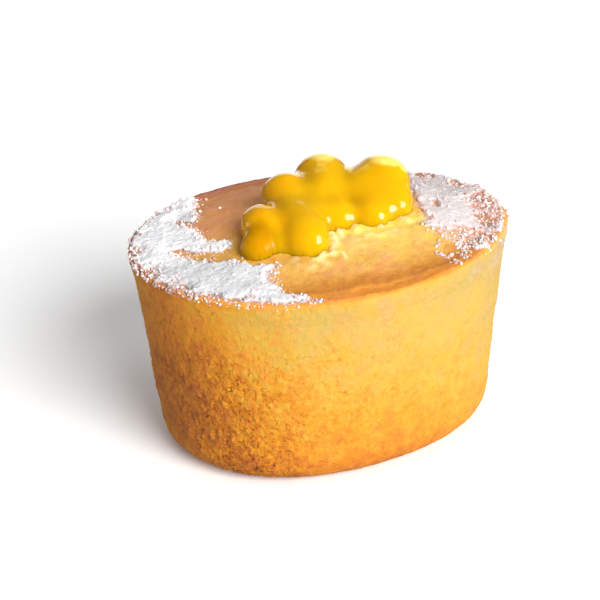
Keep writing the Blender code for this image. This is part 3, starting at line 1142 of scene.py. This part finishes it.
def bump_of(tree, height, depth, below=None):
    """The normal over a relief, with its depth in millimetres."""
    bump = add_node(tree, "ShaderNodeBump")
    feed(bump, {"Height": height, "Strength": 1.0, "Distance": depth * MM})
    if below is not None:
        feed(bump, {"Normal": below})
    return bump.outputs["Normal"]


def new_material(name, roughness, specular=0.5):
    """A material, its node tree, its shader and the place on the object."""
    material = bpy.data.materials.new(name)
    material.use_nodes = True
    shader = material.node_tree.nodes["Principled BSDF"]
    feed(shader, {"Roughness": roughness, "Specular IOR Level": specular})
    place = add_node(material.node_tree, "ShaderNodeTexCoord").outputs["Object"]
    return material, material.node_tree, shader, place


def let_light_in(shader, weight, radius, depth):
    """Light spreads under the surface, over a depth in millimetres times each colour's radius."""
    values = {"Weight": weight, "Radius": radius, "Scale": depth * MM}
    feed(shader, {f"Subsurface {name}": value for name, value in values.items()})


def curls_of(tree, place):
    """Small curved pits in the crumb, 1 in a pit and 0 outside."""
    swirl = math_of(tree, "SUBTRACT", noise_of(tree, place, width=1.5, detail=1.0), 0.5)
    line = math_of(tree, "ABSOLUTE", swirl, 0.0)
    line = line_of(tree, line, start=1.0, slope=-15.0, clamp=True)
    patch = mask_of(tree, noise_of(tree, place, width=1.15, detail=1.0), start=0.47, gain=5.0)
    return times(tree, line, patch)


def baked(tree, place, rough):
    """How brown the crust is, with the mottling of the crumb."""
    mottle = noise_of(tree, place, width=1.8, detail=3.0, roughness=0.6)
    mottle = math_of(tree, "SUBTRACT", mottle, 0.5)
    grain = math_of(tree, "SUBTRACT", noise_of(tree, place, width=0.6), 0.5)
    uneven = line_of(tree, grain, start=mottle, slope=0.6)
    uneven = times(tree, uneven, line_of(tree, rough, start=0.6, slope=1.0))
    return line_of(tree, uneven, start=attribute_of(tree, "bake"), slope=0.42, clamp=True)


def top_colour(tree, place, bake):
    """The colour of the top crust: its dome, its brown band and the duller crust at the back."""
    patches = noise_of(tree, place, width=2.4, detail=3.0, roughness=0.6)
    patches = times(tree, mask_of(tree, patches, start=0.46, gain=5.0), 0.7)
    behind = mix_of(tree, patches, BACK_COLOUR, BACK_MOTTLE_COLOUR)
    top = painted(tree, ramp_of(tree, bake, TOP_STOPS), "back", behind, share=0.9)
    top = painted(tree, top, "band", painted(tree, BAND_COLOUR, "back", BACK_BAND_COLOUR))
    top = painted(tree, top, "edge", BACK_EDGE_COLOUR)
    return tinted(tree, times(tree, attribute_of(tree, "glow"), 0.6), top, GLOW_TINT)


def crust_material():
    material, tree, shader, place = new_material("baked_crumb", roughness=0.78, specular=0.2)
    rough, relief = attribute_of(tree, "rough"), attribute_of(tree, "relief")
    bake = baked(tree, place, rough)
    wall, top = ramp_of(tree, bake, WALL_STOPS), top_colour(tree, place, bake)
    colour = painted(tree, wall, "crust", top)
    blush = mask_of(tree, noise_of(tree, place, width=3.6), start=0.42, gain=3.2)
    colour = tinted(tree, blush, colour, BLUSH_TINT)
    # painted shade in the crumb's creases and painted highlight on its crests, set by the relief's
    # height
    colour = tinted(tree, mask_of(tree, relief, start=0.42, gain=-2.5), colour, PAINTED_CREASE_SHADE)
    colour = tinted(tree, mask_of(tree, relief, start=0.6, gain=2.0), colour, PAINTED_CREST_HIGHLIGHT)
    colour = painted(tree, colour, "clump", CLUMP_COLOUR, share=0.75)
    colour = painted(tree, colour, "strand", STRAND_COLOUR, share=0.85)
    # painted shade in the small curved pits, which are also cut into the bump below
    curls = times(tree, curls_of(tree, place), rough)
    colour = tinted(tree, curls, colour, PAINTED_PIT_SHADE)
    # painted shade inside the pores, which are also sunk into the mesh
    colour = painted(tree, colour, "pore", PAINTED_PORE_SHADE, share=0.75)
    powder = noise_of(tree, place, width=0.45, detail=3.0, roughness=0.7)
    powder = times(tree, attribute_of(tree, "dust"), powder)
    colour = mix_of(tree, mask_of(tree, powder, start=0.46, gain=7.0), colour, THIN_SUGAR_COLOUR)

    fine = noise_of(tree, place, width=0.55, detail=3.0, roughness=0.6)
    fine = math_of(tree, "ADD", fine, noise_of(tree, place, width=0.22))
    pebbles = times(tree, noise_of(tree, place, width=1.0, roughness=0.6), 1.6)
    pits = times(tree, math_of(tree, "SUBTRACT", pebbles, curls), rough)
    below = bump_of(tree, pits, depth=0.28)
    feed(shader, {"Base Color": colour, "Normal": bump_of(tree, fine, depth=0.1, below=below)})
    let_light_in(shader, weight=0.1, radius=(1.0, 0.5, 0.2), depth=1.0)
    return material


def curd_material():
    material, tree, shader, place = new_material("set_curd", roughness=0.1, specular=0.4)
    # painted shade: darkens the front-lit lower left lobe, over a random deeper tone, and dulls its
    # gloss
    shade_and_tone = times(tree, attribute_of(tree, "shade_and_tone"), 1.0, clamp=True)
    # painted light: a brighter, warmer yellow lifts the shaded lobes on the left
    colour = painted(tree, CURD_COLOUR, "painted_light", CURD_PAINTED_LIGHT_COLOUR)
    # painted sheen: a pale colour on the lobes' tops and right side stands in for reflected light
    colour = painted(tree, mix_of(tree, shade_and_tone, colour, CURD_PAINTED_SHADE_COLOUR), "painted_sheen", PAINTED_SHEEN_COLOUR)
    gloss = line_of(tree, shade_and_tone, start=0.06, slope=0.2)
    shine = line_of(tree, shade_and_tone, start=0.4, slope=-0.36)
    skin = bump_of(tree, noise_of(tree, place, width=2.5, detail=1.0), depth=0.05)
    feed(shader, {"Base Color": colour, "Roughness": gloss, "Specular IOR Level": shine})
    feed(shader, {"Normal": skin, "IOR": 1.36})
    let_light_in(shader, weight=1.0, radius=(1.0, 0.7, 0.1), depth=7.0)
    return material


def powder_of(tree):
    """The powder's colour: white where it is thick, greyer where it is thin, and greyer as painted
    shade at the front and the right end.
    """
    thin_colour = painted(tree, COOL_SUGAR_COLOUR, "right", THIN_SUGAR_COLOUR)
    return painted(tree, SUGAR_COLOUR, "thin", thin_colour)


def sugar_material():
    material, tree, shader, place = new_material("icing_powder", roughness=0.95, specular=0.2)
    grit = noise_of(tree, place, width=0.55, detail=3.0, roughness=0.7)
    powder = mix_of(tree, 1.0, powder_of(tree), ramp_of(tree, grit, GRIT_STOPS), "MULTIPLY")
    cover = line_of(tree, attribute_of(tree, "depth"), start=0.05, slope=2.6, clamp=True)
    spot = noise_of(tree, place, width=1.3, roughness=0.6)
    spot = mask_of(tree, spot, start=0.56, gain=-9.0)
    spot = times(tree, spot, attribute_of(tree, "gap"), clamp=True)
    cover = math_of(tree, "SUBTRACT", cover, times(tree, spot, SPOT_STRENGTH), clamp=True)
    soaked = painted(tree, LEFT_SOAKED_COLOUR, "right", SOAKED_SUGAR_COLOUR)
    colour = mix_of(tree, cover, soaked, powder)
    fine = noise_of(tree, place, width=0.4, detail=3.0, roughness=0.7)
    feed(shader, {"Base Color": colour, "Normal": bump_of(tree, fine, depth=0.1)})
    let_light_in(shader, weight=0.3, radius=(1.0, 0.95, 0.9), depth=0.5)
    return material


def grain_material():
    material, tree, shader, place = new_material("sugar_clumps", roughness=0.9, specular=0.2)
    grit = ramp_of(tree, noise_of(tree, place, width=0.9), GRAIN_GRIT_STOPS)
    colour = mix_of(tree, 1.0, powder_of(tree), grit, "MULTIPLY")
    fine = noise_of(tree, place, width=0.2)
    feed(shader, {"Base Color": colour, "Normal": bump_of(tree, fine, depth=0.05)})
    let_light_in(shader, weight=0.3, radius=(1.0, 0.95, 0.9), depth=0.4)
    return material


def make_floor():
    half = FLOOR_HALF
    corners = [(-half, -half, 0), (half, -half, 0), (half, half, 0), (-half, half, 0)]
    mesh = bpy.data.meshes.new("floor")
    mesh.from_pydata(corners, [], [(0, 1, 2, 3)])
    material, _, shader, _ = new_material("pale_floor", roughness=0.9, specular=0.1)
    feed(shader, {"Base Color": FLOOR_COLOUR})
    feed(shader, {"Emission Color": WHITE, "Emission Strength": FLOOR_GLOW})
    mesh.materials.append(material)
    floor = new_object("floor", mesh)
    floor.location.z = -FLOOR_GAP
    floor.visible_glossy = False


def direction(azimuth, elevation):
    """A unit vector towards a place given in degrees, with azimuth from +X towards +Y."""
    azimuth, elevation = radians(azimuth), radians(elevation)
    level = cos(elevation)
    return Vector((cos(azimuth) * level, sin(azimuth) * level, sin(elevation)))


def make_lights():
    world = bpy.data.worlds.new("studio")
    world.use_nodes = True
    feed(world.node_tree.nodes["Background"], {"Color": WHITE, "Strength": SKY_STRENGTH})
    bpy.context.scene.world = world
    for name, azimuth, elevation, strength, width, lights, glints in LIGHTS:
        light = bpy.data.lights.new(name, "SUN")
        light.energy = strength
        light.angle = radians(width)
        lamp = new_object(name, light)
        lamp.visible_diffuse = lights
        lamp.visible_glossy = glints
        lamp.rotation_euler = direction(azimuth, elevation).to_track_quat("Z", "Y").to_euler()


def make_camera():
    """The camera of the photograph, aimed so that the target lies a little off the middle."""
    back = direction(CAMERA_AZIMUTH, CAMERA_ELEVATION)
    level = direction(CAMERA_AZIMUTH + 90.0, 0.0)
    upright = back.cross(level)
    roll = radians(CAMERA_ROLL)
    right = level * cos(roll) + upright * sin(roll)
    up = upright * cos(roll) - level * sin(roll)
    backwards = back * FOCAL_PIXELS + right * TARGET_RIGHT_PIXELS - up * TARGET_BELOW_PIXELS
    backwards.normalize()
    right = (right - backwards * right.dot(backwards)).normalized()
    up = backwards.cross(right)
    data = bpy.data.cameras.new("camera")
    data.sensor_width = SENSOR_WIDTH
    data.lens = SENSOR_WIDTH * FOCAL_PIXELS / FRAME_PIXELS
    camera = new_object("camera", data)
    axes = Matrix((right, up, backwards)).transposed().to_4x4()
    camera.matrix_world = Matrix.Translation(CAMERA_TARGET + back * CAMERA_DISTANCE) @ axes
    bpy.context.scene.camera = camera


def build():
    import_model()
    bpy.context.scene.view_settings.view_transform = "Standard"
    make_camera()
    make_floor()
    make_lights()
    sugar = sugar_material()
    pieces = (
        (make_cake(crust_material()), "cake_crust"),
        (make_curd(curd_material()), "curd_gel"),
        (make_drift("sugar_drift_left", "sugar_left", LEFT_DRIFT, sugar), "icing_sugar"),
        (make_drift("sugar_drift_right", "sugar_right", RIGHT_DRIFT, sugar), "icing_sugar"),
        (make_grains(grain_material()), "icing_sugar"),
    )
    for piece, slot in pieces:
        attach(piece, "root")
    bpy.context.view_layer.update()


build()
